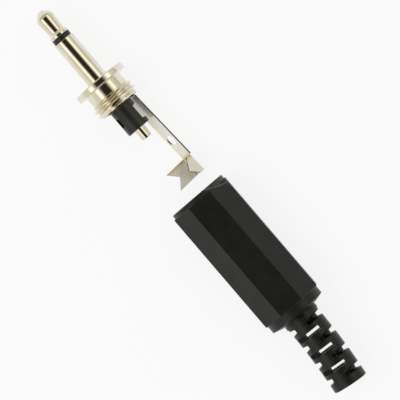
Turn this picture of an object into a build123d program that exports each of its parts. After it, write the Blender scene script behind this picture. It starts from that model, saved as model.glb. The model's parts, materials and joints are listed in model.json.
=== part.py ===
from build123d import *
from math import cos, degrees, radians, sin
import os

# A 3.5 mm two-pole jack plug with its barrel unscrewed and drawn back in line with it.
# X runs along the common axis from the tip to the cable end, and Z is up.
# Every piece is built with the tip's front at X = 0 and the axis at Z = 0. At the end all are
# moved together, so that the lowest face stands on Z = 0 and the origin is under the middle.
# All sizes are in millimetres and degrees.

# Clearances
nest_gap = 0.01
thread_clearance = 0.1
turn_clearance = 0.08
seat_clearance = 0.05

# Tip contact
tip_flat_radius = 0.45
tip_crown_radius = 1.5
tip_crown_round = 0.9
tip_taper_end = 4.12
tip_waist_radius = 1.27
tip_waist_round = 0.3
tip_heel_radius = 1.62
tip_heel_round = 0.25
tip_length = 4.93
rod_radius = 0.885
solder_pin_length = 1.9
solder_pin_bevel = 0.12
solder_cup_radius = 0.5
solder_cup_depth = 1.5

# Tip insulator
ring_radius = 1.58
ring_length = 0.82
tube_radius = 1.4

# Sleeve body
plug_length = 14.0
sleeve_radius = 1.75
sleeve_edge_round = 0.08
flange_radius = 4.5
flange_thickness = 1.1
flange_round = 0.18
collar_radius = 3.27
collar_length = 1.8
thread_radius = 3.8
thread_length = 2.2
thread_bevel = 0.3

# Sleeve tag, stamped from sheet and bent
tag_thickness = 0.25
tag_ring_radius = 2.3
tag_direction = 55.0
tag_width = 2.6
tag_root_height = 2.55
tag_lean = 3.6
tag_root_bend = 0.25
tag_hole_radius = 0.93
tag_hole_station = 9.15
clamp_station = 12.55
clamp_length = 3.3
clamp_bend = 0.35
pointed_wing_angle = 90.0
pointed_wing_shoulder = 1.0
pointed_wing_reach = 2.45
pointed_wing_offset = 0.3
notched_wing_angle = 70.0
notched_wing_reach = 3.85
notched_wing_notch = 1.45

# Rear insulator
insulator_radius = 2.0
insulator_length = 4.45
insulator_edge_round = 0.08
recess_start = 0.95
recess_length = 2.7
recess_depth = 0.52
recess_slope = 0.12
window_start = 1.2
window_length = 1.75
window_width = 0.95
window_depth = 0.8
window_direction = 62.0

# Barrel
drawn_gap = 2.35
lip_radius = 4.97
lip_length = 0.68
barrel_across_flats = 10.28
barrel_sides = 8
flats_length = 22.0
flats_edge_round = 0.12
flats_end_bevel = 0.12
shoulder_radius = 4.92
shoulder_length = 1.35
shoulder_cone_length = 0.42
shoulder_cone_radius = 3.45
mouth_length = 3.2
mouth_bevel = 0.3
cavity_radius = 4.1
cavity_depth = 21.65
neck_hole_radius = 3.05

# Strain relief
stop_radius = 3.9
stop_thickness = 1.2
boot_gap = 0.25
boot_radius = 2.88
boot_first_ring_radius = 3.03
boot_first_ring_length = 0.55
boot_length = 13.1
boot_bore_radius = 1.6
boot_bend = 7.0
boot_straight_end = 1.3
boot_edge_round = 0.1
notch_first = 1.4
notch_pitch = 3.27
notch_count = 4
notch_outer_width = 0.95
notch_inner_width = 0.32
notch_half_angle = 66.0
slot_width = 0.75
slot_half_angle = 47.0
boot_roll = 20.5

# Stations along the axis, worked out from the lengths above
sleeve_start = tip_length + ring_length
flange_back = plug_length + flange_thickness
thread_start = flange_back + collar_length
thread_end = thread_start + thread_length
tag_ring_back = thread_end + tag_thickness
insulator_back = tag_ring_back + insulator_length
rod_end = insulator_back + solder_pin_length
tag_end = tag_ring_back + clamp_station + clamp_length
barrel_front = tag_end + drawn_gap
flats_start = barrel_front + lip_length
flats_end = flats_start + flats_length
shoulder_end = flats_end + shoulder_length
barrel_back = shoulder_end + shoulder_cone_length
cavity_back = barrel_front + cavity_depth
boot_start = barrel_back + boot_gap
bend_start = boot_start + boot_first_ring_length
bent_length = boot_length - boot_first_ring_length - boot_straight_end
bend_radius = bent_length / radians(boot_bend)


def turned(*lines):
    """A solid of revolution about the X axis, from a closed outline drawn as (station, radius)."""
    outline = make_face([edge for line in lines for edge in line.edges()])
    return revolve(Plane.XZ * outline, Axis.X)


def ring(start, end, inner, outer):
    """A plain tube along the X axis."""
    section = Plane.YZ.offset(start) * (Circle(outer) - Circle(inner))
    return extrude(section, end - start)


def rod(start, end, radius):
    """A plain cylinder along the X axis."""
    return extrude(Plane.YZ.offset(start) * Circle(radius), end - start)


def make_tip_contact():
    """The tip with its waist and heel, and the rod back to the solder terminal."""
    nose_length = tip_crown_radius - tip_flat_radius
    heel_start = tip_taper_end + tip_heel_radius - tip_waist_radius
    contour = FilletPolyline(
        (0, tip_flat_radius),
        (nose_length, tip_crown_radius),
        (tip_taper_end, tip_waist_radius),
        (heel_start, tip_heel_radius),
        (tip_length, tip_heel_radius),
        radius=[tip_crown_round, tip_waist_round, tip_heel_round],
    )
    rest = Polyline(
        (tip_length, tip_heel_radius),
        (tip_length, rod_radius),
        (rod_end - solder_pin_bevel, rod_radius),
        (rod_end, rod_radius - solder_pin_bevel),
        (rod_end, solder_cup_radius),
        (rod_end - solder_cup_depth, solder_cup_radius),
        (rod_end - solder_cup_depth - solder_cup_radius, 0),
        (0, 0),
        (0, tip_flat_radius),
    )
    return turned(contour, rest)


def make_tip_insulator():
    """The ring between tip and sleeve, in one with the tube round the rod."""
    bore = rod_radius + nest_gap
    outline = Polyline(
        (tip_length, bore),
        (tip_length, ring_radius),
        (sleeve_start, ring_radius),
        (sleeve_start, tube_radius),
        (tag_ring_back, tube_radius),
        (tag_ring_back, bore),
        close=True,
    )
    return turned(outline)


def on_flange_rim(edge):
    """Whether an edge is one of the flange's two outer circles."""
    return edge.geom_type == GeomType.CIRCLE and abs(edge.radius - flange_radius) < 1e-6


def make_sleeve_body():
    """The sleeve, flange, collar and threaded part. The thread is its crest cylinder."""
    bore = tube_radius + nest_gap
    outline = Polyline(
        (sleeve_start, bore),
        (sleeve_start, sleeve_radius - sleeve_edge_round),
        (sleeve_start + sleeve_edge_round, sleeve_radius),
        (plug_length, sleeve_radius),
        (plug_length, flange_radius),
        (flange_back, flange_radius),
        (flange_back, collar_radius),
        (thread_start, collar_radius),
        (thread_start + thread_bevel, thread_radius),
        (thread_end - thread_bevel, thread_radius),
        (thread_end, thread_radius - thread_bevel),
        (thread_end, bore),
        close=True,
    )
    body = turned(outline)
    return fillet(body.edges().filter_by(on_flange_rim), flange_round)


def make_sleeve_tag():
    """The ring, the strip with its hole, and the clamp's two wings, built under the axis and then turned."""
    half_thickness = tag_thickness / 2
    lean_sine = sin(radians(tag_lean))
    lean_cosine = cos(radians(tag_lean))
    washer = ring(thread_end, tag_ring_back, tube_radius + nest_gap, tag_ring_radius)

    def strip_point(station, height):
        """A point of the strip's side view, from its station along the strip and its height inwards."""
        return (
            tag_ring_back + station * lean_cosine + height * lean_sine,
            -tag_root_height - station * lean_sine + height * lean_cosine,
        )

    foot_top = half_thickness - tag_ring_radius
    front_station = (half_thickness * lean_sine - tag_thickness) / lean_cosine
    outer_root = strip_point(front_station, -half_thickness)
    inner_root = strip_point(-half_thickness * lean_sine / lean_cosine, half_thickness)
    side_view = FilletPolyline(
        (thread_end, foot_top),
        outer_root,
        strip_point(clamp_station, -half_thickness),
        strip_point(clamp_station, half_thickness),
        inner_root,
        (tag_ring_back, foot_top),
        radius=[tag_root_bend + tag_thickness, 0, 0, tag_root_bend],
    )
    closing = Line((tag_ring_back, foot_top), (thread_end, foot_top))
    strip = extrude(Plane.XZ * make_face(side_view.edges() + closing.edges()), tag_width / 2, both=True)

    # The strip's own frame: X along it, Y across it and Z inwards, from the middle of its root
    strip_frame = Plane(
        origin=(tag_ring_back, 0, -tag_root_height),
        x_dir=(lean_cosine, 0, -lean_sine),
        z_dir=(lean_sine, 0, lean_cosine),
    )
    hole = Pos(tag_hole_station, 0, 0) * Cylinder(tag_hole_radius, 3 * tag_thickness)
    tag = washer + (strip - strip_frame * hole) + strip_frame * make_clamp()
    return Rot(tag_direction, 0, 0) * tag


def make_clamp():
    """The clamp in the strip's own frame: a bent channel whose two sides are cut to a point and a notch."""
    edge = (tag_width - tag_thickness) / 2
    bend_radius = clamp_bend + tag_thickness / 2
    pointed_way = (cos(radians(pointed_wing_angle)), sin(radians(pointed_wing_angle)))
    notched_way = (-cos(radians(notched_wing_angle)), sin(radians(notched_wing_angle)))
    middle_line = FilletPolyline(
        (edge + pointed_wing_reach * pointed_way[0], pointed_wing_reach * pointed_way[1]),
        (edge, 0),
        (-edge, 0),
        (-edge + notched_wing_reach * notched_way[0], notched_wing_reach * notched_way[1]),
        radius=bend_radius,
    )
    section = Plane.YZ.offset(clamp_station) * trace(middle_line, tag_thickness)
    channel = extrude(section, clamp_length)
    pointed_frame = Plane(
        origin=(clamp_station, edge, 0),
        x_dir=(1, 0, 0),
        z_dir=(0, -pointed_way[1], pointed_way[0]),
    )
    notched_frame = Plane(
        origin=(clamp_station, -edge, 0),
        x_dir=(1, 0, 0),
        z_dir=(0, -notched_way[1], notched_way[0]),
    )
    beyond = pointed_wing_reach + tag_thickness
    point_waste = Polyline(
        (0, beyond),
        (0, pointed_wing_shoulder),
        (clamp_length / 2 + pointed_wing_offset, pointed_wing_reach),
        (clamp_length, pointed_wing_shoulder),
        (clamp_length, beyond),
        close=True,
    )
    notch_waste = Polyline(
        (0, notched_wing_reach),
        (clamp_length / 2, notched_wing_reach - notched_wing_notch),
        (clamp_length, notched_wing_reach),
        close=True,
    )
    channel -= extrude(pointed_frame * make_face(point_waste), tag_thickness, both=True)
    channel -= extrude(notched_frame * make_face(notch_waste), tag_thickness, both=True)
    return channel


def make_rear_insulator():
    """The block behind the threaded part, with its flat recess and its rounded slot."""
    bore = rod_radius + nest_gap
    body = turned(Polyline(
        (tag_ring_back, bore),
        (tag_ring_back, insulator_radius - insulator_edge_round),
        (tag_ring_back + insulator_edge_round, insulator_radius),
        (insulator_back - insulator_edge_round, insulator_radius),
        (insulator_back, insulator_radius - insulator_edge_round),
        (insulator_back, bore),
        close=True,
    ))
    recess_front = tag_ring_back + recess_start
    recess_back = recess_front + recess_length
    floor = insulator_radius - recess_depth
    above = insulator_radius + recess_depth
    recess = extrude(make_face(Polyline(
        (recess_front, above),
        (recess_front, insulator_radius),
        (recess_front + recess_slope, floor),
        (recess_back - recess_slope, floor),
        (recess_back, insulator_radius),
        (recess_back, above),
        close=True,
    )), insulator_radius, both=True)
    window_frame = Plane(
        origin=(tag_ring_back + window_start + window_length / 2, 0, 0),
        x_dir=(1, 0, 0),
        z_dir=(0, -sin(radians(window_direction)), cos(radians(window_direction))),
    ).offset(insulator_radius - window_depth)
    window = extrude(window_frame * SlotOverall(window_length, window_width), 2 * window_depth)
    return body - recess - window


def make_barrel():
    """The eight-sided handle, with its round lip, its round shoulder and its stepped bore."""
    flats = extrude(
        Plane.YZ.offset(flats_start) * RegularPolygon(
            barrel_across_flats / 2, barrel_sides, major_radius=False, rotation=180 / barrel_sides
        ),
        flats_length,
    )
    flats = fillet(flats.edges().filter_by(Axis.X), flats_edge_round)
    ends = flats.faces().filter_by(Axis.X)
    flats = chamfer(ends.edges(), flats_end_bevel)
    lip = rod(barrel_front, flats_start + lip_length, lip_radius)
    lip = chamfer(lip.faces().sort_by(Axis.X)[0].edges(), flats_end_bevel)
    shoulder = turned(Polyline(
        (flats_end - lip_length, 0),
        (flats_end - lip_length, shoulder_radius),
        (shoulder_end, shoulder_radius),
        (barrel_back, shoulder_cone_radius),
        (barrel_back, 0),
        close=True,
    ))
    mouth_radius = thread_radius + thread_clearance
    hollow = turned(Polyline(
        (barrel_front, 0),
        (barrel_front, mouth_radius + mouth_bevel),
        (barrel_front + mouth_bevel, mouth_radius),
        (barrel_front + mouth_length, mouth_radius),
        (barrel_front + mouth_length, cavity_radius),
        (cavity_back, cavity_radius),
        (cavity_back, neck_hole_radius),
        (barrel_back, neck_hole_radius),
        (barrel_back, 0),
        close=True,
    ))
    return flats + lip + shoulder - hollow


def boot_place(distance):
    """Where the boot's middle line is, and how it points, at a distance behind its first ring's front."""
    bent = min(distance - boot_first_ring_length, bent_length)
    straight = distance - boot_first_ring_length - bent
    angle = bent / bend_radius
    along = bend_radius * sin(angle) + straight * cos(angle)
    aside = bend_radius * (1 - cos(angle)) + straight * sin(angle)
    return Location((bend_start + along, -aside, 0), (0, 0, -degrees(angle)))


def wall_cutter(inner_width, outer_width, half_angle):
    """A wedge that cuts the boot's wall over an arc, centred on straight up at the place X = 0."""
    inner = boot_bore_radius / 2
    outer = boot_radius + boot_bore_radius / 2
    flare = (outer_width - inner_width) / 2 / (boot_radius - boot_bore_radius)
    inner_half = inner_width / 2 - flare * (boot_bore_radius - inner)
    outer_half = outer_width / 2 + flare * (outer - boot_radius)
    inner_half = max(inner_half, inner_width / 4)
    section = Plane.XZ * make_face(Polyline(
        (-inner_half, inner),
        (-inner_width / 2, boot_bore_radius),
        (-outer_half, outer),
        (outer_half, outer),
        (inner_width / 2, boot_bore_radius),
        (inner_half, inner),
        close=True,
    ))
    return Rot(-half_angle, 0, 0) * revolve(section, Axis.X, 2 * half_angle)


def make_strain_relief():
    """The boot with its notches and slots, its neck in the barrel's rear hole and its hidden stop."""
    stop_back = cavity_back - seat_clearance
    neck = turned(Polyline(
        (stop_back - stop_thickness, boot_bore_radius),
        (stop_back - stop_thickness, stop_radius),
        (stop_back, stop_radius),
        (stop_back, neck_hole_radius - turn_clearance),
        (boot_start, neck_hole_radius - turn_clearance),
        (boot_start, boot_first_ring_radius),
        (bend_start, boot_first_ring_radius),
        (bend_start, boot_bore_radius),
        close=True,
    ))
    bend_axis = Axis((bend_start, -bend_radius, 0), (0, 0, -1))
    wall = Circle(boot_radius) - Circle(boot_bore_radius)
    boot = revolve(Plane.YZ.offset(bend_start) * wall, bend_axis, boot_bend)
    end_ring = extrude(Plane.YZ * wall, boot_straight_end)
    end_ring = chamfer(end_ring.faces().sort_by(Axis.X)[-1].edges(), boot_edge_round)
    boot += boot_place(boot_length - boot_straight_end) * end_ring
    notch = wall_cutter(notch_inner_width, notch_outer_width, notch_half_angle)
    slot = wall_cutter(slot_width, slot_width, slot_half_angle)
    cutters = []
    for index in range(notch_count):
        place = boot_place(notch_first + index * notch_pitch)
        cutters += [place * Rot(boot_roll + side, 0, 0) * notch for side in (-90, 90)]
    for index in range(notch_count - 1):
        place = boot_place(notch_first + (index + 0.5) * notch_pitch)
        cutters += [place * Rot(boot_roll + side, 0, 0) * slot for side in (0, 180)]
    return (neck + boot) - cutters


parts = {
    "tip_contact": make_tip_contact(),
    "tip_insulator": make_tip_insulator(),
    "sleeve_body": make_sleeve_body(),
    "sleeve_tag": make_sleeve_tag(),
    "rear_insulator": make_rear_insulator(),
    "barrel": make_barrel(),
    "strain_relief": make_strain_relief(),
}

# The origin goes under the middle of the whole plug, on the surface that it lies on
box = Compound(children=[Compound(piece.solids()) for piece in parts.values()]).bounding_box()
to_origin = Pos(-(box.min.X + box.max.X) / 2, -(box.min.Y + box.max.Y) / 2, -box.min.Z)
print("origin shift", to_origin.position)
os.makedirs("parts", exist_ok=True)
for name, piece in parts.items():
    export_step(to_origin * piece, f"parts/{name}.step")
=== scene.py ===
import json
import math

import bmesh
import bpy
from mathutils import Matrix, Vector

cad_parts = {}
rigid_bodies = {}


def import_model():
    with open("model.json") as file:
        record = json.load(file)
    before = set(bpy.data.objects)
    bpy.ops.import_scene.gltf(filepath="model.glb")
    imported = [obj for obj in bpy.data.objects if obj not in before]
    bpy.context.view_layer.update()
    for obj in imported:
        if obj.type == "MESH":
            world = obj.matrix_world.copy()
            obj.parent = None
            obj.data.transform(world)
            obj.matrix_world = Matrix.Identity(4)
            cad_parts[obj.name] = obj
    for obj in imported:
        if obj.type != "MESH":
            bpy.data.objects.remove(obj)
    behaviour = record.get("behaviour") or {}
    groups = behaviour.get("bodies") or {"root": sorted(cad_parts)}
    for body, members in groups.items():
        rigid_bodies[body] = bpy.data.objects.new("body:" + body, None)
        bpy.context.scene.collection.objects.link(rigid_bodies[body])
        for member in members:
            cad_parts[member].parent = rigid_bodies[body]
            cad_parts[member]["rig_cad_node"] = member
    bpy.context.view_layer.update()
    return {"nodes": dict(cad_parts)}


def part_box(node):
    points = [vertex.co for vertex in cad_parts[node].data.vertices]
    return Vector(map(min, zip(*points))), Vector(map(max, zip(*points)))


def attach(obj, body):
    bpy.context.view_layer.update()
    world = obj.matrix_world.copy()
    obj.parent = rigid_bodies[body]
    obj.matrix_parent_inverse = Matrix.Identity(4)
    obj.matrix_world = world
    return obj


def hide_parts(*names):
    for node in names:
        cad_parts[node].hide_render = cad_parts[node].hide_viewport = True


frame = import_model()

# A two-pole jack plug, with its barrel unscrewed and drawn back in line with it.
# X runs along the plug's axis from the tip to the cable end, Z is up and lengths are in metres.

bl_info = {
    "name": "Jack plug",
    "version": (1, 0, 0),
    "blender": (4, 5, 0),
    "location": "View3D > Sidebar > Jack plug",
    "description": "Turned, stamped and moulded pieces of a jack plug, with their finishes",
    "category": "Object",
}

MM = 0.001
TURN_STEPS = 144
ARC_STEPS = 6
FLANK_STEPS = 5
BEVEL_SEGMENTS = 2
SAME_POINT = 0.000001
NEAR_STATION = 10 * SAME_POINT

# Degrees: edges that turn by more than these stay sharp, are rounded, or are kept when a copy is merged
SHARP_TURNED = 35
SHARP_TAG = 30
SHARP_BARREL = 25
SHARP_LINE = 40
SHARP_BOOT = 30
ROUNDED_FROM = 40
FLAT_WITHIN = 0.5

nodes_of_plug = frame["nodes"]
tip_low, tip_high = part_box("tip_contact")
ring_low, ring_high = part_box("tip_insulator")
sleeve_low, sleeve_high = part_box("sleeve_body")
tag_low, tag_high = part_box("sleeve_tag")
barrel_low, barrel_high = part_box("barrel")
axis_height = (barrel_low.z + barrel_high.z) / 2


def length(name, description, millimetres):
    """A length that the user can change, given in millimetres and kept in metres."""
    return bpy.props.FloatProperty(
        name=name,
        description=description,
        default=millimetres * MM,
        min=0,
        precision=5,
        subtype="DISTANCE",
        unit="LENGTH",
    )


def offset(name, description, millimetres):
    """A place that the user can change, given in millimetres, to either side of zero."""
    return bpy.props.FloatProperty(
        name=name,
        description=description,
        default=millimetres * MM,
        precision=5,
        subtype="DISTANCE",
        unit="LENGTH",
    )


def angle(name, description, degrees):
    """An angle that the user can change, given in degrees."""
    return bpy.props.FloatProperty(
        name=name,
        description=description,
        default=math.radians(degrees),
        subtype="ANGLE",
        unit="ROTATION",
    )


def colour(name, description, red, green, blue):
    """A colour that the user can change."""
    return bpy.props.FloatVectorProperty(
        name=name,
        description=description,
        default=(red, green, blue, 1),
        size=4,
        min=0,
        max=1,
        subtype="COLOR",
    )


def share(name, description, default):
    """A plain number from 0 to 1 that the user can change."""
    return bpy.props.FloatProperty(name=name, description=description, default=default, min=0, max=1)


class TipSizes(bpy.types.PropertyGroup):
    """Sizes of the tip contact, with the rod that runs back through the plug."""

    flat_radius: length("Flat radius", "Radius of the flat at the front of the tip", 0.45)
    crown_radius: length("Crown radius", "Radius of the tip where it is widest", 1.5)
    crown_round: length("Crown round", "Rounding of the tip's widest part", 0.9)
    taper_end: length("Taper end", "From the front to the waist", 4.12)
    waist_radius: length("Waist radius", "Radius of the waist that a socket's spring holds", 1.27)
    waist_round: length("Waist round", "Rounding of the waist", 0.3)
    heel_radius: length("Heel radius", "Radius behind the waist", 1.62)
    heel_round: length("Heel round", "Rounding of the heel", 0.22)
    rod_radius: length("Rod radius", "Radius of the rod and its solder pin", 0.885)
    pin_bevel: length("Pin bevel", "Bevel at the end of the solder pin", 0.12)
    cup_radius: length("Cup radius", "Radius of the hole for the wire", 0.5)
    cup_depth: length("Cup depth", "Depth of the hole for the wire", 1.5)


class SleeveSizes(bpy.types.PropertyGroup):
    """Sizes of the sleeve, its flange, its collar and its thread."""

    bore_radius: length("Bore radius", "Radius of the bore round the insulating tube", 1.41)
    sleeve_radius: length("Sleeve radius", "Radius of the part that goes into a socket", 1.75)
    plug_length: length("Plug length", "From the tip's front to the flange", 14.0)
    flange_thickness: length("Flange thickness", "Thickness of the flange", 1.1)
    flange_round: length("Flange round", "Rounding of the flange's rim", 0.2)
    collar_radius: length("Collar radius", "Radius between the flange and the thread", 3.27)
    collar_length: length("Collar length", "Length between the flange and the thread", 1.8)
    edge_round: length("Edge round", "Small rounding of the turned edges", 0.05)
    crest_radius: length("Crest radius", "Radius over the thread", 3.8)
    root_radius: length("Root radius", "Radius at the bottom of the thread", 3.34)
    pitch: length("Pitch", "From one turn of the thread to the next", 0.9)
    crest_width: length("Crest width", "Width of the flat along the thread's crest", 0.1)
    first_crest: length("First crest", "From the tip's front to a crest on the side towards +Y", 17.3)


class TagSizes(bpy.types.PropertyGroup):
    """Sizes of the stamped tag that its finish needs."""

    thickness: length("Thickness", "Thickness of the sheet", 0.25)
    clamp_length: length("Clamp length", "Length of the clamp along the plug", 3.3)
    strip_width: length("Strip width", "Width of the strip", 2.6)
    # Width of the painted highlight line along the strip's lower edge
    edge_highlight_line: length("Edge line", "Width of the bright line along the strip's lower edge", 0.22)
    direction: angle("Direction", "Where the strip lies round the plug, from straight down towards +Y", 55)


class BootSizes(bpy.types.PropertyGroup):
    """Sizes of the strain relief's bend and of the slots that go right through it."""

    bend_start: length("Bend start", "From the barrel's back to the start of the bend", 0.8)
    bend_radius: length("Bend radius", "Radius of the bend along the middle of the boot", 92.08)
    first_slot: length("First slot", "From the barrel's back to the middle of the first slot", 3.285)
    slot_spacing: length("Slot spacing", "From one slot to the next", 3.27)
    slot_length: length("Slot length", "Length of a slot across the boot", 2.5)
    slot_width: length("Slot width", "Width of a slot along the boot", 0.7)
    slot_count: bpy.props.IntProperty(name="Slots", description="Number of slots", default=3, min=1)


class FinishSizes(bpy.types.PropertyGroup):
    """Small roundings and marks that finish the other pieces."""

    tag_round: length("Tag round", "Rounding of the stamped edges", 0.03)
    moulded_round: length("Moulded round", "Rounding of the insulators' edges", 0.04)
    barrel_round: length("Barrel round", "Rounding of the barrel's edges", 0.05)
    boot_round: length("Boot round", "Rounding of the boot's edges", 0.05)
    line_radius: length("Line radius", "Half the width of the raised line across the barrel's mouth", 0.075)


class Colours(bpy.types.PropertyGroup):
    """The colours of the metals and plastics."""

    nickel: colour("Nickel", "Bright nickel plate", 0.80, 0.765, 0.69)
    nickel_warm: colour("Warm nickel", "Plate where it is a little tarnished", 0.76, 0.70, 0.56)
    sheet: colour("Sheet", "Plate on the stamped tag", 0.88, 0.84, 0.77)
    # Warm plate for random patches and cut edges, and also the painted golden highlight where the clamp was
    # bent
    sheet_warm_and_bend_highlight: colour("Warm sheet", "Plate on the tag where it was bent", 0.66, 0.54, 0.30)
    # Bare brass of the cut edges, made near black as a painted dark reflection
    cut_edge_dark_reflection: colour("Cut edge", "Dull bare brass along the tag's cut edges", 0.08, 0.055, 0.03)
    # A painted highlight: the bright brass line along the strip's lower edge
    strip_edge_highlight: colour("Strip edge", "Bright brass along the strip's lower edge", 0.97, 0.88, 0.60)
    insulator: colour("Insulator", "Black insulating plastic", 0.012, 0.012, 0.011)
    insulator_worn: colour("Rubbed insulator", "Insulating plastic where it is rubbed", 0.022, 0.022, 0.020)
    barrel: colour("Barrel", "Matte black plastic of the barrel", 0.0035, 0.0035, 0.003)
    barrel_worn: colour("Rubbed barrel", "Matte black plastic where it is rubbed", 0.008, 0.008, 0.007)
    # The pale blotches at the barrel's mouth: a painted reflection
    barrel_mouth_glint: colour("Scuffed barrel", "Scuffed plastic at the barrel's mouth", 0.04, 0.039, 0.036)
    barrel_line: colour("Barrel line", "Raised line across the barrel's mouth", 0.13, 0.13, 0.12)
    boot: colour("Boot", "Olive black plastic of the strain relief", 0.006, 0.0057, 0.0042)
    boot_worn: colour("Rubbed boot", "Olive black plastic where it is rubbed", 0.013, 0.0125, 0.009)
    floor: colour("Floor", "Pale floor", 0.9, 0.9, 0.9)


class ViewSettings(bpy.types.PropertyGroup):
    """Where the camera stands and how bright the room is."""

    distance: length("Distance", "From the camera to the plug's axis", 480)
    span: length("Span", "Width that the frame shows at the plug's axis", 62.2)
    target_x: offset("Target along", "Where the frame's centre is along the plug", 0.6)
    target_y: offset("Target across", "Where the frame's centre is across the plug", -0.1)
    direction: angle("Direction", "From the frame's right down to the plug's axis", 49.4)
    roll: angle("Roll", "How far the camera leans round the plug's axis", 2.2)
    room_light: share("Room light", "Strength of the light from all round", 0.62)
    floor_glow: share("Floor glow", "Share of the floor's white that no shadow darkens", 0.84)


def deselect():
    """Leaves nothing selected, in object mode."""
    if bpy.context.object is not None and bpy.context.object.mode != "OBJECT":
        bpy.ops.object.mode_set(mode="OBJECT")
    bpy.ops.object.select_all(action="DESELECT")


def make_active(piece):
    """Selects one object alone."""
    deselect()
    piece.select_set(True)
    bpy.context.view_layer.objects.active = piece


def apply_all(piece):
    """Applies a piece's modifiers and its place."""
    make_active(piece)
    for modifier in list(piece.modifiers):
        bpy.ops.object.modifier_apply(modifier=modifier.name)
    bpy.ops.object.transform_apply(location=True, rotation=True, scale=True)


def smooth(piece, degrees):
    """Shades a piece smooth, but keeps flat faces flat and edges sharp that turn by more than an angle."""
    make_active(piece)
    bpy.ops.object.shade_smooth_by_angle(angle=math.radians(degrees))
    weighted = piece.modifiers.new("flat_faces", "WEIGHTED_NORMAL")
    weighted.keep_sharp = True
    bpy.ops.object.modifier_apply(modifier=weighted.name)


def bevel_edges(piece, width):
    """Rounds a piece's clear edges and applies its modifiers."""
    bevel = piece.modifiers.new("edge_round", "BEVEL")
    bevel.width = width
    bevel.segments = BEVEL_SEGMENTS
    bevel.limit_method = "ANGLE"
    bevel.angle_limit = math.radians(ROUNDED_FROM)
    bevel.use_clamp_overlap = True
    apply_all(piece)


def dress(piece, material, body, slot, *replaced):
    """Gives a finished piece its material and its body, and hides the nodes that it stands for. The slot is
    not used.
    """
    piece.data.materials.clear()
    piece.data.materials.append(material)
    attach(piece, body)
    if replaced:
        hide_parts(*replaced)


def rounded_outline(corners):
    """The points of an open outline through corners (station, radius, rounding), with arcs at the corners."""
    points = []
    for index, (station, radius, rounding) in enumerate(corners):
        corner = Vector((station, radius))
        if rounding == 0:
            points.append(corner)
            continue
        back = (Vector(corners[index - 1][:2]) - corner).normalized()
        on = (Vector(corners[index + 1][:2]) - corner).normalized()
        half = back.angle(on) / 2
        centre = corner + (back + on).normalized() * rounding / math.sin(half)
        start = corner + back * rounding / math.tan(half) - centre
        end = corner + on * rounding / math.tan(half) - centre
        sweep = math.copysign(math.pi - 2 * half, start.x * end.y - start.y * end.x)
        for step in range(ARC_STEPS + 1):
            turn = sweep * step / ARC_STEPS
            points.append(centre + Vector((
                start.x * math.cos(turn) - start.y * math.sin(turn),
                start.x * math.sin(turn) + start.y * math.cos(turn),
            )))
    return points


def drawn_chain(name, points):
    """An object with one chain of edges through points (x, y, z)."""
    deselect()
    bpy.ops.mesh.primitive_plane_add(size=MM, location=(0, 0, 0))
    piece = bpy.context.object
    piece.name = name
    bpy.ops.object.mode_set(mode="EDIT")
    bpy.ops.mesh.select_all(action="SELECT")
    bpy.ops.mesh.merge(type="CENTER")
    bpy.ops.transform.translate(value=points[0])
    for before, after in zip(points, points[1:]):
        step = tuple(Vector(after) - Vector(before))
        bpy.ops.mesh.extrude_vertices_move(TRANSFORM_OT_translate={"value": step})
    bpy.ops.object.mode_set(mode="OBJECT")
    return piece


def drawn_outline(name, points):
    """An object with one chain of edges through points (station, radius), drawn above the plug's axis."""
    piece = drawn_chain(name, [(point[0], 0, point[1]) for point in points])
    piece.location = (tip_low.x, 0, axis_height)
    bpy.ops.object.transform_apply(location=True, rotation=True, scale=True)
    return piece


def turned_piece(name, corners):
    """A turned piece: its outline, from corners (station, radius, rounding), spun round the plug's axis."""
    piece = drawn_outline(name, rounded_outline(corners))
    bpy.ops.object.mode_set(mode="EDIT")
    bpy.ops.mesh.select_all(action="SELECT")
    bpy.ops.mesh.spin(
        steps=TURN_STEPS, angle=2 * math.pi, center=(0, 0, axis_height), axis=(1, 0, 0), use_auto_merge=True
    )
    bpy.ops.mesh.select_all(action="SELECT")
    bpy.ops.mesh.remove_doubles(threshold=SAME_POINT)
    bpy.ops.mesh.normals_make_consistent(inside=False)
    bpy.ops.object.mode_set(mode="OBJECT")
    return piece


def merged_copy(name, node):
    """A copy of a node's own mesh, with its loose triangles merged and its flat faces made whole."""
    make_active(nodes_of_plug[node])
    bpy.ops.object.duplicate()
    piece = bpy.context.object
    piece.name = name
    piece.data.name = name
    del piece["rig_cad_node"]
    bpy.ops.mesh.customdata_custom_splitnormals_clear()
    bpy.ops.object.mode_set(mode="EDIT")
    bpy.ops.mesh.select_all(action="SELECT")
    bpy.ops.mesh.remove_doubles(threshold=SAME_POINT)
    bpy.ops.mesh.dissolve_limited(angle_limit=math.radians(FLAT_WITHIN))
    bpy.ops.object.mode_set(mode="OBJECT")
    return piece


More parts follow.
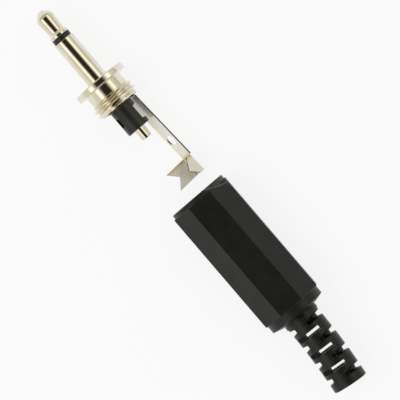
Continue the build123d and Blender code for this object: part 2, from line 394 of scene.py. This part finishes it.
class Finish:
    """A new material, with short ways to add and link its nodes."""

    def __init__(self, name, roughness):
        self.material = bpy.data.materials.new(name)
        self.material.use_nodes = True
        self.tree = self.material.node_tree
        self.shader = self.tree.nodes["Principled BSDF"]
        self.shader.inputs["Roughness"].default_value = roughness
        self.place = self.tree.nodes.new("ShaderNodeTexCoord").outputs["Object"]

    def link(self, output, node, socket):
        """Links an output to a node's input."""
        self.tree.links.new(output, node.inputs[socket])

    def noise(self, scale, detail, stretch=(1, 1, 1)):
        """A noise pattern in the piece's own space, stretched along its axes."""
        mapping = self.tree.nodes.new("ShaderNodeMapping")
        mapping.inputs["Scale"].default_value = stretch
        self.link(self.place, mapping, "Vector")
        pattern = self.tree.nodes.new("ShaderNodeTexNoise")
        pattern.inputs["Scale"].default_value = scale
        pattern.inputs["Detail"].default_value = detail
        self.link(mapping.outputs["Vector"], pattern, "Vector")
        return pattern.outputs["Fac"]

    def ranged(self, value, low, high, start=0.35, end=0.65):
        """A value taken from one range to another."""
        ranged = self.tree.nodes.new("ShaderNodeMapRange")
        ranged.inputs["From Min"].default_value = start
        ranged.inputs["From Max"].default_value = end
        ranged.inputs["To Min"].default_value = low
        ranged.inputs["To Max"].default_value = high
        self.link(value, ranged, "Value")
        return ranged.outputs["Result"]

    def near(self, station, width):
        """1 at a station along the plug, falling to 0 at a distance from it."""
        parts = self.tree.nodes.new("ShaderNodeSeparateXYZ")
        self.link(self.place, parts, "Vector")
        apart = self.tree.nodes.new("ShaderNodeMath")
        apart.operation = "SUBTRACT"
        self.tree.links.new(parts.outputs["X"], apart.inputs[0])
        apart.inputs[1].default_value = station
        size = self.tree.nodes.new("ShaderNodeMath")
        size.operation = "ABSOLUTE"
        self.tree.links.new(apart.outputs["Value"], size.inputs[0])
        return self.ranged(size.outputs["Value"], 1, 0, 0, width)

    def before(self, direction, limit, width):
        """1 where a point reaches less far in a direction than a limit, and 0 beyond it."""
        reach = self.tree.nodes.new("ShaderNodeVectorMath")
        reach.operation = "DOT_PRODUCT"
        self.link(self.place, reach, 0)
        reach.inputs[1].default_value = direction
        return self.ranged(reach.outputs["Value"], 1, 0, limit - width / 2, limit + width / 2)

    def both(self, first, second):
        """The product of two values."""
        product = self.tree.nodes.new("ShaderNodeMath")
        product.operation = "MULTIPLY"
        self.link(first, product, 0)
        self.link(second, product, 1)
        return product.outputs["Value"]

    def mixed(self, factor, first, second):
        """A mix of two colours, or of an output and a colour."""
        mix = self.tree.nodes.new("ShaderNodeMix")
        mix.data_type = "RGBA"
        self.tree.links.new(factor, mix.inputs[0])
        for socket, value in ((mix.inputs[6], first), (mix.inputs[7], second)):
            if isinstance(value, bpy.types.NodeSocket):
                self.tree.links.new(value, socket)
            else:
                socket.default_value = value
        return mix.outputs[2]

    def bump(self, height, strength, distance):
        """Adds relief to the shader's normal."""
        relief = self.tree.nodes.new("ShaderNodeBump")
        relief.inputs["Strength"].default_value = strength
        relief.inputs["Distance"].default_value = distance
        self.link(height, relief, "Height")
        self.link(relief.outputs["Normal"], self.shader, "Normal")


# Patterns to a metre: patches of tone, the fine marks that turning, rolling and cutting leave, and the
# blotches of the painted reflection at the barrel's mouth
NICKEL_PATCHES = 450
SHEET_PATCHES = 700
PLASTIC_PATCHES = 350
TURNING_RINGS = 14000
ROLLING_MARKS = 5000
CUTTING_MARKS = 9000
GLINT_BLOTCHES = 1500
# How those marks are stretched along the plug, across it and upwards
ROUND_THE_AXIS = (1, 0.02, 0.02)
ALONG_THE_PLUG = (0.15, 1, 1)
# Depths of the marks in the metal
RING_DEPTH = 0.0012 * MM
ROLLING_DEPTH = 0.0012 * MM
CUTTING_DEPTH = 0.004 * MM
# Roughness of each metal, and from the smoothest to the roughest of its marks
TURNED_ROUGHNESS = 0.12
TURNED_RANGE = (0.08, 0.17)
SHEET_ROUGHNESS = 0.3
SHEET_RANGE = (0.27, 0.35)
CUT_ROUGHNESS = 0.4
# The dull plate on the sheet mirrors less than the turned plate does
SHEET_METAL = 0.55
SHEET_WARMTH = 0.15
CUT_WARMTH = 0.12
# The painted golden highlight where the clamp was bent, and the end of the painted highlight line along the
# strip
BEND_HIGHLIGHT = 0.55 * MM
HIGHLIGHT_LINE_END = 0.2 * MM
SOFT_EDGE = 0.1 * MM


def turned_nickel(name, colours):
    """Bright nickel plate over turned metal, with fine rings round the axis and a faint warm tarnish."""
    finish = Finish(name, TURNED_ROUGHNESS)
    finish.shader.inputs["Metallic"].default_value = 1
    patches = finish.ranged(finish.noise(NICKEL_PATCHES, 4), 0, 1)
    tone = finish.mixed(patches, tuple(colours.nickel), tuple(colours.nickel_warm))
    finish.link(tone, finish.shader, "Base Color")
    rings = finish.noise(TURNING_RINGS, 2, ROUND_THE_AXIS)
    finish.link(finish.ranged(rings, *TURNED_RANGE), finish.shader, "Roughness")
    finish.bump(rings, 0.25, RING_DEPTH)
    return finish.material


def across_strip(sizes):
    """The direction across the tag's strip, from its lower edge to its upper edge."""
    return Vector((0, math.cos(sizes.direction), math.sin(sizes.direction)))


def stamped_nickel(name, colours, sizes, bend_station):
    """Nickel plate on stamped sheet, with a painted golden highlight where the clamp was bent and a painted
    bright highlight along the strip's lower edge.
    """
    finish = Finish(name, SHEET_ROUGHNESS)
    finish.shader.inputs["Metallic"].default_value = SHEET_METAL
    patches = finish.ranged(finish.noise(SHEET_PATCHES, 4), 0, SHEET_WARMTH)
    plate = finish.mixed(patches, tuple(colours.sheet), tuple(colours.sheet_warm_and_bend_highlight))
    # A painted golden highlight: the warm plate laid in a band where the clamp was bent
    band = finish.near(bend_station, BEND_HIGHLIGHT)
    plate = finish.mixed(band, plate, tuple(colours.sheet_warm_and_bend_highlight))
    # A painted highlight: a bright brass line along the strip's lower edge, up to the bend
    across = across_strip(sizes)
    edge = axis_height * across.z - sizes.strip_width / 2 + sizes.edge_highlight_line
    line = finish.before(across, edge, SOFT_EDGE)
    strip = finish.before((1, 0, 0), bend_station - HIGHLIGHT_LINE_END, SOFT_EDGE)
    plate = finish.mixed(finish.both(line, strip), plate, tuple(colours.strip_edge_highlight))
    finish.link(plate, finish.shader, "Base Color")
    marks = finish.noise(ROLLING_MARKS, 3, ALONG_THE_PLUG)
    finish.link(finish.ranged(marks, *SHEET_RANGE), finish.shader, "Roughness")
    finish.bump(marks, 0.12, ROLLING_DEPTH)
    return finish.material


def brass_with_painted_dark_edges(name, colours):
    """Dull bare brass where the sheet was cut, with marks across its thickness; its near-black colour is a
    painted dark reflection.
    """
    finish = Finish(name, CUT_ROUGHNESS)
    finish.shader.inputs["Metallic"].default_value = 1
    marks = finish.noise(CUTTING_MARKS, 3)
    warmth = finish.ranged(marks, 0, CUT_WARMTH)
    tone = finish.mixed(warmth, tuple(colours.cut_edge_dark_reflection), tuple(colours.sheet_warm_and_bend_highlight))
    finish.link(tone, finish.shader, "Base Color")
    finish.bump(marks, 0.5, CUTTING_DEPTH)
    return finish.material


# Each black plastic: its roughness, specular level, grain in patterns to a metre and depth of grain
PLASTICS = {
    "insulating_plastic": (0.3, 0.33, 5000, 0.004 * MM),
    "barrel_plastic": (0.42, 0.36, 9000, 0.012 * MM),
    "line_plastic": (0.35, 0.5, 9000, 0.003 * MM),
    "boot_plastic": (0.34, 0.3, 4000, 0.006 * MM),
}
# How far the grain takes the roughness down and up
GRAIN_SMOOTHER = 0.06
GRAIN_ROUGHER = 0.08
# A painted reflection lies in blotches at the mouth, in front of a slanting line: its slant, place from the
# barrel's front and softness
GLINT_SLANT = (1, -0.38, 0)
GLINT_START = -0.43 * MM
GLINT_SOFTNESS = 0.05 * MM
# The blotches' edges, in the values of their noise
BLOTCH_EDGES = (0.42, 0.56)


def moulded_plastic(name, fresh, rubbed, glint_colour=None, glint_place=None):
    """Black moulded plastic with a fine grain, rubbed patches and, in one place, blotches of painted
    reflection.
    """
    roughness, gloss, grain, grain_depth = PLASTICS[name]
    finish = Finish(name, roughness)
    finish.shader.inputs["Specular IOR Level"].default_value = gloss
    patches = finish.ranged(finish.noise(PLASTIC_PATCHES, 5), 0, 1)
    tone = finish.mixed(patches, tuple(fresh), tuple(rubbed))
    if glint_place is not None:
        # Blotches of painted reflection in front of the slanting line
        glint_blotches = finish.ranged(finish.noise(GLINT_BLOTCHES, 4), 0, 1, *BLOTCH_EDGES)
        tone = finish.mixed(finish.both(finish.before(*glint_place), glint_blotches), tone, tuple(glint_colour))
    finish.link(tone, finish.shader, "Base Color")
    texture = finish.noise(grain, 6)
    satin = finish.ranged(texture, roughness - GRAIN_SMOOTHER, roughness + GRAIN_ROUGHER)
    finish.link(satin, finish.shader, "Roughness")
    finish.bump(texture, 0.6, grain_depth)
    return finish.material


class PLUG_OT_stage(bpy.types.Operator):
    """Make the pale floor, the soft light of the room and the camera above the plug"""

    bl_idname = "plug.stage"
    bl_label = "Floor, light and camera"

    def execute(self, context):
        view = context.scene.plug_view
        make_floor(view, context.scene.plug_colours)
        make_room(view)
        make_lamp()
        make_camera(view)
        context.scene.view_settings.view_transform = "Standard"
        return {"FINISHED"}


def seen_directly(tree):
    """1 for what the camera, a reflection or a see-through piece sees, and 0 for light on surfaces."""
    path = tree.nodes.new("ShaderNodeLightPath")
    total = path.outputs["Is Camera Ray"]
    for name in ("Is Glossy Ray", "Is Transmission Ray"):
        most = tree.nodes.new("ShaderNodeMath")
        most.operation = "MAXIMUM"
        tree.links.new(total, most.inputs[0])
        tree.links.new(path.outputs[name], most.inputs[1])
        total = most.outputs["Value"]
    return total


FLOOR_SIZE = 4
LAMP_PLACE = (-0.05, -0.18, 0.34)
LAMP_SIZE = 0.3
LAMP_POWER = 0.42
SENSOR_WIDTH = 36
NEAREST_SEEN = 0.01
FARTHEST_SEEN = 10


def make_floor(view, colours):
    """A pale floor under the plug, nearly white to the eye, which keeps a soft shadow."""
    deselect()
    bpy.ops.mesh.primitive_plane_add(size=FLOOR_SIZE, location=(0, 0, 0))
    floor = bpy.context.object
    floor.name = "floor"
    material = bpy.data.materials.new("pale_floor")
    material.use_nodes = True
    tree = material.node_tree
    tree.nodes.clear()
    matte = tree.nodes.new("ShaderNodeBsdfDiffuse")
    matte.inputs["Color"].default_value = tuple(colours.floor)
    glow = tree.nodes.new("ShaderNodeEmission")
    glow.inputs["Color"].default_value = (1, 1, 1, 1)
    amount = tree.nodes.new("ShaderNodeMath")
    amount.operation = "MULTIPLY"
    amount.inputs[1].default_value = view.floor_glow
    tree.links.new(seen_directly(tree), amount.inputs[0])
    mix = tree.nodes.new("ShaderNodeMixShader")
    tree.links.new(amount.outputs["Value"], mix.inputs["Fac"])
    tree.links.new(matte.outputs["BSDF"], mix.inputs[1])
    tree.links.new(glow.outputs["Emission"], mix.inputs[2])
    output = tree.nodes.new("ShaderNodeOutputMaterial")
    tree.links.new(mix.outputs["Shader"], output.inputs["Surface"])
    floor.data.materials.append(material)


# The room that gloss shows: angles round the plug's axis from straight up towards +Y, with a colour.
# It is dark overhead, with a long bright lamp on each side of the dark, and warm pale walls below them.
ROOM_STRENGTH = 1.4
ROOM_BANDS = (
    (-180, (0.64, 0.63, 0.61)),
    (-85, (0.60, 0.59, 0.53)),
    (-58, (0.57, 0.55, 0.45)),
    (-50, (0.98, 0.97, 0.90)),
    (-36, (1.00, 0.99, 0.92)),
    (-29, (0.50, 0.48, 0.40)),
    (-18, (0.016, 0.014, 0.010)),
    (20, (0.014, 0.012, 0.008)),
    (27, (0.30, 0.28, 0.20)),
    (38, (0.88, 0.87, 0.78)),
    (50, (1.00, 0.99, 0.92)),
    (57, (0.56, 0.54, 0.44)),
    (75, (0.52, 0.50, 0.43)),
    (95, (0.33, 0.32, 0.29)),
    (120, (0.62, 0.61, 0.59)),
    (180, (0.64, 0.63, 0.61)),
)
# The bands end where the room's end walls begin, given as how far a direction points along the plug
ROOM_END_TONE = (0.44, 0.41, 0.30)
ROOM_END_START = 0.34
ROOM_END_FULL = 0.50


def make_room(view):
    """The world: even light on surfaces, white to the eye, and long bands of light and dark in gloss."""
    world = bpy.data.worlds.new("pale_room")
    bpy.context.scene.world = world
    world.use_nodes = True
    tree = world.node_tree
    tree.nodes.clear()
    coordinates = tree.nodes.new("ShaderNodeTexCoord")
    parts = tree.nodes.new("ShaderNodeSeparateXYZ")
    tree.links.new(coordinates.outputs["Generated"], parts.inputs["Vector"])
    turn = tree.nodes.new("ShaderNodeMath")
    turn.operation = "ARCTAN2"
    tree.links.new(parts.outputs["Y"], turn.inputs[0])
    tree.links.new(parts.outputs["Z"], turn.inputs[1])
    along = tree.nodes.new("ShaderNodeMapRange")
    along.inputs["From Min"].default_value = -math.pi
    along.inputs["From Max"].default_value = math.pi
    tree.links.new(turn.outputs["Value"], along.inputs["Value"])
    ramp = tree.nodes.new("ShaderNodeValToRGB")
    bands = ramp.color_ramp.elements
    while len(bands) < len(ROOM_BANDS):
        bands.new(0.5)
    for band, (degrees, tone) in zip(bands, ROOM_BANDS):
        band.position = 0.5 + degrees / 360
    for band, (degrees, tone) in zip(bands, ROOM_BANDS):
        band.color = (*tone, 1)
    tree.links.new(along.outputs["Result"], ramp.inputs["Fac"])
    reach = tree.nodes.new("ShaderNodeMath")
    reach.operation = "ABSOLUTE"
    tree.links.new(parts.outputs["X"], reach.inputs[0])
    ends = tree.nodes.new("ShaderNodeMapRange")
    ends.inputs["From Min"].default_value = ROOM_END_START
    ends.inputs["From Max"].default_value = ROOM_END_FULL
    tree.links.new(reach.outputs["Value"], ends.inputs["Value"])
    walls = tree.nodes.new("ShaderNodeMix")
    walls.data_type = "RGBA"
    tree.links.new(ends.outputs["Result"], walls.inputs[0])
    tree.links.new(ramp.outputs["Color"], walls.inputs[6])
    walls.inputs[7].default_value = (*ROOM_END_TONE, 1)
    gloss = tree.nodes.new("ShaderNodeBackground")
    gloss.inputs["Strength"].default_value = ROOM_STRENGTH
    tree.links.new(walls.outputs[2], gloss.inputs["Color"])
    even = tree.nodes.new("ShaderNodeBackground")
    even.inputs["Strength"].default_value = view.room_light
    white = tree.nodes.new("ShaderNodeBackground")
    for background in (even, white):
        background.inputs["Color"].default_value = (1, 1, 1, 1)
    path = tree.nodes.new("ShaderNodeLightPath")
    first = tree.nodes.new("ShaderNodeMixShader")
    tree.links.new(path.outputs["Is Glossy Ray"], first.inputs["Fac"])
    tree.links.new(even.outputs["Background"], first.inputs[1])
    tree.links.new(gloss.outputs["Background"], first.inputs[2])
    second = tree.nodes.new("ShaderNodeMixShader")
    tree.links.new(path.outputs["Is Camera Ray"], second.inputs["Fac"])
    tree.links.new(first.outputs["Shader"], second.inputs[1])
    tree.links.new(white.outputs["Background"], second.inputs[2])
    output = tree.nodes.new("ShaderNodeOutputWorld")
    tree.links.new(second.outputs["Shader"], output.inputs["Surface"])


def make_lamp():
    """A broad soft lamp above the plug and towards -Y, which gloss doesn't show."""
    deselect()
    bpy.ops.object.light_add(type="AREA", location=LAMP_PLACE)
    lamp = bpy.context.object
    lamp.name = "soft_lamp"
    lamp.data.shape = "DISK"
    lamp.data.size = LAMP_SIZE
    lamp.data.energy = LAMP_POWER
    lamp.visible_glossy = False
    lamp.rotation_euler = (-lamp.location).to_track_quat("-Z", "Y").to_euler()


def make_camera(view):
    """The camera looks down, leaning a little round the plug's axis, which runs across the frame."""
    deselect()
    bpy.ops.object.camera_add()
    camera = bpy.context.object
    camera.name = "camera"
    right = Vector((math.cos(view.direction), math.sin(view.direction), 0))
    up = Vector((-math.sin(view.direction), math.cos(view.direction), 0))
    facing = Matrix((right, up, Vector((0, 0, 1)))).transposed().to_4x4()
    lean = Matrix.Rotation(-view.roll, 4, "X")
    target = Vector((view.target_x, view.target_y, axis_height))
    back = lean @ Vector((0, 0, view.distance))
    camera.matrix_world = Matrix.Translation(target + back) @ lean @ facing
    camera.data.sensor_width = SENSOR_WIDTH
    camera.data.lens = camera.data.sensor_width * view.distance / view.span
    camera.data.clip_start = NEAREST_SEEN
    camera.data.clip_end = FARTHEST_SEEN
    bpy.context.scene.camera = camera


TIP_EDGE = 0.05 * MM


class PLUG_OT_tip(bpy.types.Operator):
    """Make the tip contact, turned in one piece with its rod and solder pin"""

    bl_idname = "plug.tip"
    bl_label = "Tip contact"

    def execute(self, context):
        sizes = context.scene.plug_tip
        rod_end = tip_high.x - tip_low.x
        heel_end = ring_low.x - tip_low.x
        heel_start = sizes.taper_end + sizes.heel_radius - sizes.waist_radius
        corners = (
            (0, 0, 0),
            (0, sizes.flat_radius, TIP_EDGE),
            (sizes.crown_radius - sizes.flat_radius, sizes.crown_radius, sizes.crown_round),
            (sizes.taper_end, sizes.waist_radius, sizes.waist_round),
            (heel_start, sizes.heel_radius, sizes.heel_round),
            (heel_end, sizes.heel_radius, TIP_EDGE),
            (heel_end, sizes.rod_radius, 0),
            (rod_end - sizes.pin_bevel, sizes.rod_radius, TIP_EDGE),
            (rod_end, sizes.rod_radius - sizes.pin_bevel, TIP_EDGE),
            (rod_end, sizes.cup_radius, TIP_EDGE),
            (rod_end - sizes.cup_depth, sizes.cup_radius, 0),
            (rod_end - sizes.cup_depth - sizes.cup_radius, 0, 0),
        )
        piece = turned_piece("tip", corners)
        smooth(piece, SHARP_TURNED)
        nickel = turned_nickel("tip_nickel", context.scene.plug_colours)
        dress(piece, nickel, "plug_insert", "plated_contact", "tip_contact")
        return {"FINISHED"}


class PLUG_OT_insulators(bpy.types.Operator):
    """Make the ring behind the tip, with its tube, and the slotted block behind the thread"""

    bl_idname = "plug.insulators"
    bl_label = "Insulators"

    def execute(self, context):
        scene = context.scene
        colours = scene.plug_colours
        material = moulded_plastic("insulating_plastic", colours.insulator, colours.insulator_worn)
        front = ring_low.x - tip_low.x
        step = sleeve_low.x - tip_low.x
        back = ring_high.x - tip_low.x
        bore = scene.plug_tip.rod_radius
        outer = ring_high.y
        tube = scene.plug_sleeve.bore_radius
        edge = scene.plug_finish.moulded_round
        ring = turned_piece("tip_ring", (
            (front, bore, 0),
            (front, outer, edge),
            (step, outer, edge),
            (step, tube, 0),
            (back, tube, 0),
            (back, bore, 0),
            (front, bore, 0),
        ))
        smooth(ring, SHARP_TURNED)
        dress(ring, material, "plug_insert", "insulator", "tip_insulator")
        block = merged_copy("rear_block", "rear_insulator")
        bevel_edges(block, edge)
        smooth(block, SHARP_TURNED)
        dress(block, material, "plug_insert", "insulator", "rear_insulator")
        return {"FINISHED"}


class PLUG_OT_sleeve(bpy.types.Operator):
    """Make the sleeve with its flange and its collar, and cut the thread behind them"""

    bl_idname = "plug.sleeve"
    bl_label = "Sleeve and thread"

    def execute(self, context):
        sizes = context.scene.plug_sleeve
        start = sleeve_low.x - tip_low.x
        end = sleeve_high.x - tip_low.x
        flange_back = sizes.plug_length + sizes.flange_thickness
        thread_start = flange_back + sizes.collar_length
        flange = sleeve_high.y
        edge = sizes.edge_round
        body = turned_piece("sleeve", (
            (end, sizes.bore_radius + MM, 0),
            (end, sizes.bore_radius, 0),
            (start, sizes.bore_radius, 0),
            (start, sizes.sleeve_radius, edge),
            (sizes.plug_length, sizes.sleeve_radius, edge),
            (sizes.plug_length, flange, sizes.flange_round),
            (flange_back, flange, sizes.flange_round),
            (flange_back, sizes.collar_radius, edge),
            (thread_start, sizes.collar_radius, 0),
        ))
        thread = make_thread(sizes, thread_start, end)
        make_active(thread)
        body.select_set(True)
        bpy.context.view_layer.objects.active = body
        bpy.ops.object.join()
        for station in (thread_start, end):
            bridge_at(body, tip_low.x + station)
        bpy.ops.object.mode_set(mode="EDIT")
        bpy.ops.mesh.select_all(action="SELECT")
        bpy.ops.mesh.normals_make_consistent(inside=False)
        bpy.ops.object.mode_set(mode="OBJECT")
        smooth(body, SHARP_TURNED)
        nickel = turned_nickel("sleeve_nickel", context.scene.plug_colours)
        dress(body, nickel, "plug_insert", "plated_body", "sleeve_body")
        return {"FINISHED"}


def make_thread(sizes, start, end):
    """The thread's surface from start to end, with both ends bevelled down to its root."""
    depth = sizes.crest_radius - sizes.root_radius
    flank = (sizes.pitch - 2 * sizes.crest_width) / 2
    turns = math.ceil((end - start) / sizes.pitch) + 2
    whole = math.floor((sizes.first_crest - start) / sizes.pitch) + 1
    first = sizes.first_crest - whole * sizes.pitch
    crest_start = first - sizes.crest_width / 2
    crest_end = first + sizes.crest_width / 2
    points = [(crest_start, sizes.crest_radius), (crest_end, sizes.crest_radius)]
    for step in range(1, FLANK_STEPS + 1):
        fallen = depth * step / FLANK_STEPS
        points.append((crest_end + flank * step / FLANK_STEPS, sizes.crest_radius - fallen))
    floor_end = points[-1][0] + sizes.crest_width
    for step in range(FLANK_STEPS + 1):
        risen = depth * step / FLANK_STEPS
        points.append((floor_end + flank * step / FLANK_STEPS, sizes.root_radius + risen))
    thread = drawn_outline("thread", points)
    make_active(thread)
    bpy.context.scene.cursor.location = (0, 0, axis_height)
    bpy.ops.object.origin_set(type="ORIGIN_CURSOR")
    thread.rotation_euler.x = -math.pi / 2
    bpy.ops.object.transform_apply(location=False, rotation=True, scale=False)
    screw = thread.modifiers.new("helix", "SCREW")
    screw.axis = "X"
    screw.angle = 2 * math.pi
    screw.screw_offset = sizes.pitch
    screw.iterations = turns
    screw.steps = TURN_STEPS
    screw.render_steps = TURN_STEPS
    screw.use_merge_vertices = True
    screw.merge_threshold = SAME_POINT
    apply_all(thread)
    bpy.ops.object.mode_set(mode="EDIT")
    for station, side in ((start, 1), (end, -1)):
        bpy.ops.mesh.select_all(action="SELECT")
        bpy.ops.mesh.bisect(
            plane_co=(tip_low.x + station, 0, 0), plane_no=(side, 0, 0), clear_inner=True, use_fill=False
        )
    bpy.ops.mesh.select_all(action="SELECT")
    bpy.ops.mesh.remove_doubles(threshold=SAME_POINT)
    bpy.ops.object.mode_set(mode="OBJECT")
    for vertex in thread.data.vertices:
        station = vertex.co.x - tip_low.x
        across = Vector((0, vertex.co.y, vertex.co.z - axis_height))
        limit = sizes.root_radius + min(station - start, end - station)
        if across.length > limit:
            across *= limit / across.length
            vertex.co.y = across.y
            vertex.co.z = axis_height + across.z
    return thread


def bridge_at(piece, station):
    """Closes the ring between the two open loops that lie across the axis at a station."""
    make_active(piece)
    bpy.ops.object.mode_set(mode="EDIT")
    bpy.ops.mesh.select_mode(type="EDGE")
    bpy.ops.mesh.select_all(action="DESELECT")
    mesh = bmesh.from_edit_mesh(piece.data)
    for edge in mesh.edges:
        if edge.is_boundary and all(abs(vertex.co.x - station) < NEAR_STATION for vertex in edge.verts):
            edge.select = True
    bmesh.update_edit_mesh(piece.data)
    bpy.ops.mesh.bridge_edge_loops()
    bpy.ops.mesh.select_mode(type="VERT")
    bpy.ops.object.mode_set(mode="OBJECT")


# A face counts as beside the strip when its normal lies this nearly across it
ACROSS_ENOUGH = 0.9
# The narrowest and the widest cut edge, as shares of the sheet's thickness
CUT_NARROWEST = 0.5
CUT_WIDEST = 0.95


class PLUG_OT_tag(bpy.types.Operator):
    """Make the stamped tag with its ring, its strip and its clamp"""

    bl_idname = "plug.tag"
    bl_label = "Tag and clamp"

    def execute(self, context):
        scene = context.scene
        sizes = scene.plug_tag
        piece = merged_copy("tag", "sleeve_tag")
        bevel_edges(piece, scene.plug_finish.tag_round)
        smooth(piece, SHARP_TAG)
        bend_station = tag_high.x - sizes.clamp_length
        colours = scene.plug_colours
        plate = stamped_nickel("tag_nickel", colours, sizes, bend_station)
        dress(piece, plate, "plug_insert", "plated_sheet", "sleeve_tag")
        piece.data.materials.append(brass_with_painted_dark_edges("cut_brass_painted_dark", colours))
        # The cut edges and the strip's long sides take the near-black brass, which paints a dark reflection
        across = across_strip(sizes)
        for face in piece.data.polygons:
            beside = face.center.x < bend_station and abs(face.normal.dot(across)) > ACROSS_ENOUGH
            if beside or is_cut_edge(piece.data, face, sizes.thickness):
                face.material_index = 1
        return {"FINISHED"}


def is_cut_edge(mesh, face, thickness):
    """Whether a face is about as wide as the sheet is thick: twice its area over its outline says so."""
    corners = [mesh.vertices[index].co for index in face.vertices]
    outline = sum((corner - corners[index - 1]).length for index, corner in enumerate(corners))
    return CUT_NARROWEST * thickness < 2 * face.area / outline < CUT_WIDEST * thickness


class PLUG_OT_barrel(bpy.types.Operator):
    """Make the eight-sided barrel and the fine raised line across its mouth"""

    bl_idname = "plug.barrel"
    bl_label = "Barrel"

    def execute(self, context):
        scene = context.scene
        colours = scene.plug_colours
        # Where the painted reflection lies at the barrel's mouth
        glint_place = (GLINT_SLANT, barrel_low.x + GLINT_START, GLINT_SOFTNESS)
        material = moulded_plastic(
            "barrel_plastic", colours.barrel, colours.barrel_worn, colours.barrel_mouth_glint, glint_place
        )
        piece = merged_copy("barrel_body", "barrel")
        bevel_edges(piece, scene.plug_finish.barrel_round)
        smooth(piece, SHARP_BARREL)
        dress(piece, material, "screw_barrel", "barrel_plastic", "barrel")
        line = make_mouth_line(piece, scene.plug_finish.line_radius)
        shine = moulded_plastic("line_plastic", colours.barrel_line, colours.barrel_line)
        dress(line, shine, "screw_barrel", "barrel_plastic")
        return {"FINISHED"}


# Points of the raised line across the mouth, in millimetres behind the barrel's front and towards +Y
MOUTH_LINE = (
    (0.03, 1.58),
    (0.16, 1.62),
    (0.27, 1.76),
    (0.36, 2.0),
    (0.60, 2.5),
    (0.84, 3.0),
    (1.08, 3.6),
    (1.31, 4.25),
    (1.42, 4.7),
    (1.49, 5.0),
)
LINE_SEGMENTS = 2


def make_mouth_line(barrel, radius):
    """A fine raised line that follows the barrel's surface across its mouth."""
    top = barrel_high.z + MM
    points = [(barrel_low.x + back * MM, side * MM, top) for back, side in MOUTH_LINE]
    line = drawn_chain("mouth_line", points)
    wrap = line.modifiers.new("lay_on", "SHRINKWRAP")
    wrap.target = barrel
    wrap.wrap_method = "PROJECT"
    wrap.use_project_z = True
    wrap.use_negative_direction = True
    wrap.use_positive_direction = False
    apply_all(line)
    bpy.ops.object.convert(target="CURVE")
    line = bpy.context.object
    line.data.bevel_depth = radius
    line.data.bevel_resolution = LINE_SEGMENTS
    line.data.use_fill_caps = True
    bpy.ops.object.convert(target="MESH")
    line = bpy.context.object
    smooth(line, SHARP_LINE)
    return line


class PLUG_OT_boot(bpy.types.Operator):
    """Make the strain relief with its notches and slots"""

    bl_idname = "plug.boot"
    bl_label = "Strain relief"

    def execute(self, context):
        scene = context.scene
        colours = scene.plug_colours
        material = moulded_plastic("boot_plastic", colours.boot, colours.boot_worn)
        piece = merged_copy("boot_body", "strain_relief")
        lengthen_slots(piece, scene.plug_boot)
        bevel_edges(piece, scene.plug_finish.boot_round)
        smooth(piece, SHARP_BOOT)
        dress(piece, material, "boot", "boot_rubber", "strain_relief")
        return {"FINISHED"}


def lengthen_slots(boot, sizes):
    """Cuts the boot's slots longer, right through both walls."""
    cutters = []
    for index in range(sizes.slot_count):
        bent = sizes.first_slot + index * sizes.slot_spacing - sizes.bend_start
        turn = bent / sizes.bend_radius
        place = (
            barrel_high.x + sizes.bend_start + sizes.bend_radius * math.sin(turn),
            -sizes.bend_radius * (1 - math.cos(turn)),
            axis_height,
        )
        deselect()
        bpy.ops.mesh.primitive_cube_add(size=1, location=place, rotation=(0, 0, -turn))
        cutter = bpy.context.object
        cutter.scale = (sizes.slot_width, sizes.slot_length, barrel_high.z * 2)
        cutters.append(cutter)
    for cutter in cutters:
        cutter.select_set(True)
    bpy.ops.object.join()
    cutter = bpy.context.object
    cut = boot.modifiers.new("slots", "BOOLEAN")
    cut.operation = "DIFFERENCE"
    cut.solver = "EXACT"
    cut.object = cutter
    apply_all(boot)
    make_active(cutter)
    bpy.ops.object.delete()


class PLUG_PT_panel(bpy.types.Panel):
    """Lists the operators that make the plug"""

    bl_label = "Jack plug"
    bl_idname = "PLUG_PT_panel"
    bl_space_type = "VIEW_3D"
    bl_region_type = "UI"
    bl_category = "Jack plug"

    def draw(self, context):
        for operator in operators:
            self.layout.operator(operator.bl_idname)


settings = {
    "plug_tip": TipSizes,
    "plug_sleeve": SleeveSizes,
    "plug_tag": TagSizes,
    "plug_boot": BootSizes,
    "plug_finish": FinishSizes,
    "plug_colours": Colours,
    "plug_view": ViewSettings,
}
operators = (
    PLUG_OT_stage,
    PLUG_OT_tip,
    PLUG_OT_insulators,
    PLUG_OT_sleeve,
    PLUG_OT_tag,
    PLUG_OT_barrel,
    PLUG_OT_boot,
)


def register():
    """Adds the settings, the operators and the panel."""
    for name, group in settings.items():
        bpy.utils.register_class(group)
        setattr(bpy.types.Scene, name, bpy.props.PointerProperty(type=group))
    for operator in operators:
        bpy.utils.register_class(operator)
    bpy.utils.register_class(PLUG_PT_panel)


def unregister():
    """Takes the panel, the operators and the settings away again."""
    bpy.utils.unregister_class(PLUG_PT_panel)
    for operator in reversed(operators):
        bpy.utils.unregister_class(operator)
    for name, group in reversed(settings.items()):
        delattr(bpy.types.Scene, name)
        bpy.utils.unregister_class(group)


def main():
    """Makes the whole plug."""
    register()
    bpy.ops.plug.stage()
    bpy.ops.plug.tip()
    bpy.ops.plug.insulators()
    bpy.ops.plug.sleeve()
    bpy.ops.plug.tag()
    bpy.ops.plug.barrel()
    bpy.ops.plug.boot()


if __name__ == "__main__":
    main()
